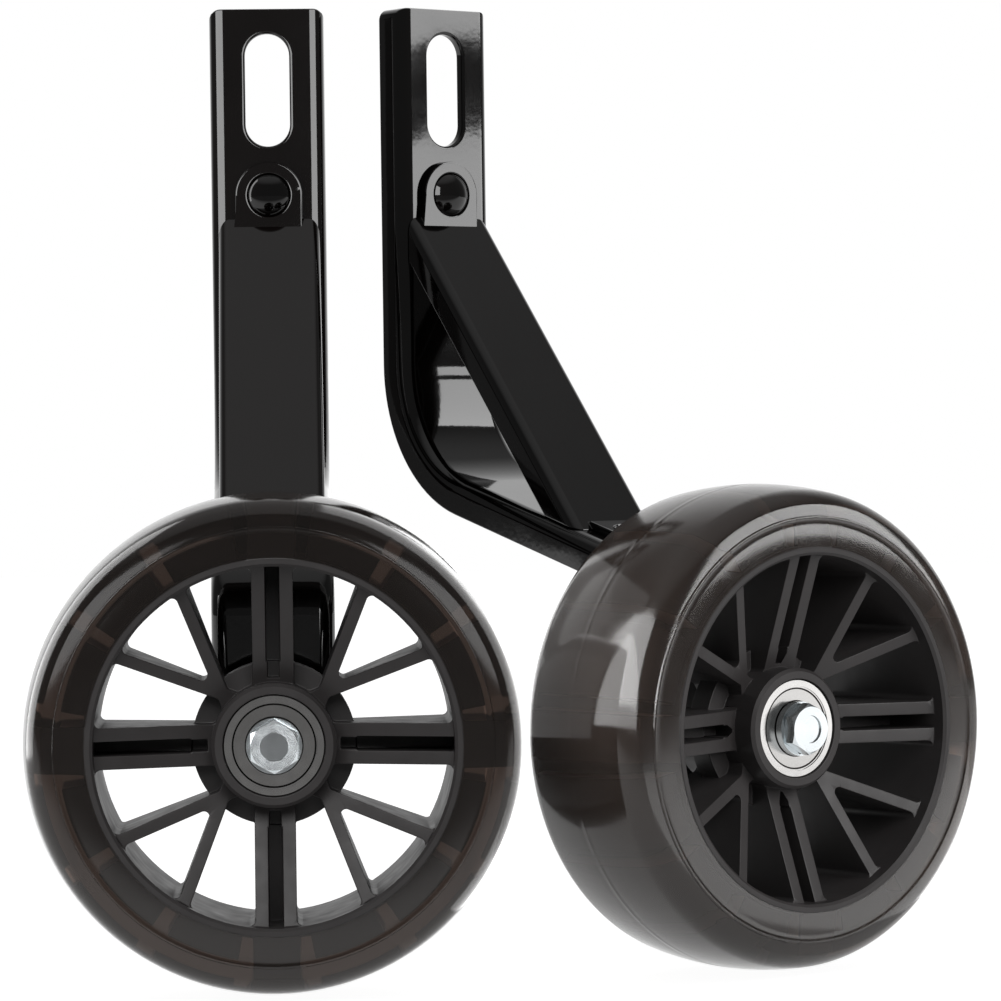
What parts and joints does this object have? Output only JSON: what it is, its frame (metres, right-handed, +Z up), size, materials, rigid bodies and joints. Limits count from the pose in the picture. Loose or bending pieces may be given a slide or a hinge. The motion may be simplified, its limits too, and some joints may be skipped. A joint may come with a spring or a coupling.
{
  "type": "bicycle training wheels",
  "caption": "Bicycle training wheel set: slotted pressed steel channel brackets with riveted braces carry spoked wheels with smoky translucent tyres on ball bearings.",
  "frame": {"origin": "centre of the left bracket's axle slot, on the back of its sheet, where the dropout seats", "axes": "+Z up along the slot, +Y along the left wheel's axle from the wheel towards the bicycle, +X to the right as the left wheel is seen from outside"},
  "size_m": [0.2144, 0.1524, 0.2233],
  "materials": {
    "black_paint": "glossy black stove paint",
    "core_plastic": "satin black moulded nylon",
    "smoky_tyre": "smoky translucent polyurethane, glossy",
    "zinc_steel": "bright zinc plated steel",
    "bearing_steel": "ground bearing steel",
    "shield_steel": "pressed steel shield"
  },
  "bodies": {
    "frame": {"bracket_left": "black_paint", "brace_left": "black_paint", "rivet_upper_left": "black_paint", "rivet_lower_left": "black_paint", "sleeve_left": "zinc_steel", "spacer_left": "zinc_steel", "collar_left": "zinc_steel", "bush_left": "zinc_steel", "washer_left": "zinc_steel", "bolt_left": "zinc_steel", "nut_left": "zinc_steel", "outer_race_in_left": "bearing_steel", "inner_race_in_left": "bearing_steel", "bracket_right": "black_paint", "brace_right": "black_paint", "rivet_upper_right": "black_paint", "rivet_lower_right": "black_paint", "sleeve_right": "zinc_steel", "spacer_right": "zinc_steel", "collar_right": "zinc_steel", "bush_right": "zinc_steel", "washer_right": "zinc_steel", "bolt_right": "zinc_steel", "nut_right": "zinc_steel", "outer_race_in_right": "bearing_steel", "inner_race_in_right": "bearing_steel"},
    "wheel_left": {"core_left": "core_plastic", "tyre_left": "smoky_tyre", "outer_clip_left": "bearing_steel", "outer_race_out_left": "bearing_steel", "outer_shield_a_left": "shield_steel", "outer_shield_b_left": "shield_steel", "inner_race_out_left": "bearing_steel", "inner_shield_a_left": "shield_steel", "inner_shield_b_left": "shield_steel"},
    "outer_ball_train_left": {"outer_balls_left": "bearing_steel", "outer_cage_left": "shield_steel"},
    "inner_ball_train_left": {"inner_balls_left": "bearing_steel", "inner_cage_left": "shield_steel"},
    "wheel_right": {"core_right": "core_plastic", "tyre_right": "smoky_tyre", "outer_clip_right": "bearing_steel", "outer_race_out_right": "bearing_steel", "outer_shield_a_right": "shield_steel", "outer_shield_b_right": "shield_steel", "inner_race_out_right": "bearing_steel", "inner_shield_a_right": "shield_steel", "inner_shield_b_right": "shield_steel"},
    "outer_ball_train_right": {"outer_balls_right": "bearing_steel", "outer_cage_right": "shield_steel"},
    "inner_ball_train_right": {"inner_balls_right": "bearing_steel", "inner_cage_right": "shield_steel"}
  },
  "joints": [
    {"name": "wheel_left_spin", "type": "hinge", "parent": "frame", "child": "wheel_left", "pos_m": [0, -0.113, -0.1495], "axis": [0, 1, 0], "continuous": true},
    {"name": "outer_ball_train_left_spin", "type": "hinge", "parent": "frame", "child": "outer_ball_train_left", "pos_m": [0, -0.113, -0.1495], "axis": [0, 1, 0], "continuous": true},
    {"name": "inner_ball_train_left_spin", "type": "hinge", "parent": "frame", "child": "inner_ball_train_left", "pos_m": [0, -0.113, -0.1495], "axis": [0, 1, 0], "continuous": true},
    {"name": "wheel_right_spin", "type": "hinge", "parent": "frame", "child": "wheel_right", "pos_m": [0.108, -0.085, -0.1495], "axis": [-0.5878, 0.809, 0], "continuous": true},
    {"name": "outer_ball_train_right_spin", "type": "hinge", "parent": "frame", "child": "outer_ball_train_right", "pos_m": [0.108, -0.085, -0.1495], "axis": [-0.5878, 0.809, 0], "continuous": true},
    {"name": "inner_ball_train_right_spin", "type": "hinge", "parent": "frame", "child": "inner_ball_train_right", "pos_m": [0.108, -0.085, -0.1495], "axis": [-0.5878, 0.809, 0], "continuous": true}
  ],
  "couplings": [
    {"joint": "outer_ball_train_left_spin", "follows": "wheel_left_spin", "ratio": 0.632},
    {"joint": "inner_ball_train_left_spin", "follows": "wheel_left_spin", "ratio": 0.632},
    {"joint": "outer_ball_train_right_spin", "follows": "wheel_right_spin", "ratio": 0.632},
    {"joint": "inner_ball_train_right_spin", "follows": "wheel_right_spin", "ratio": 0.632}
  ]
}
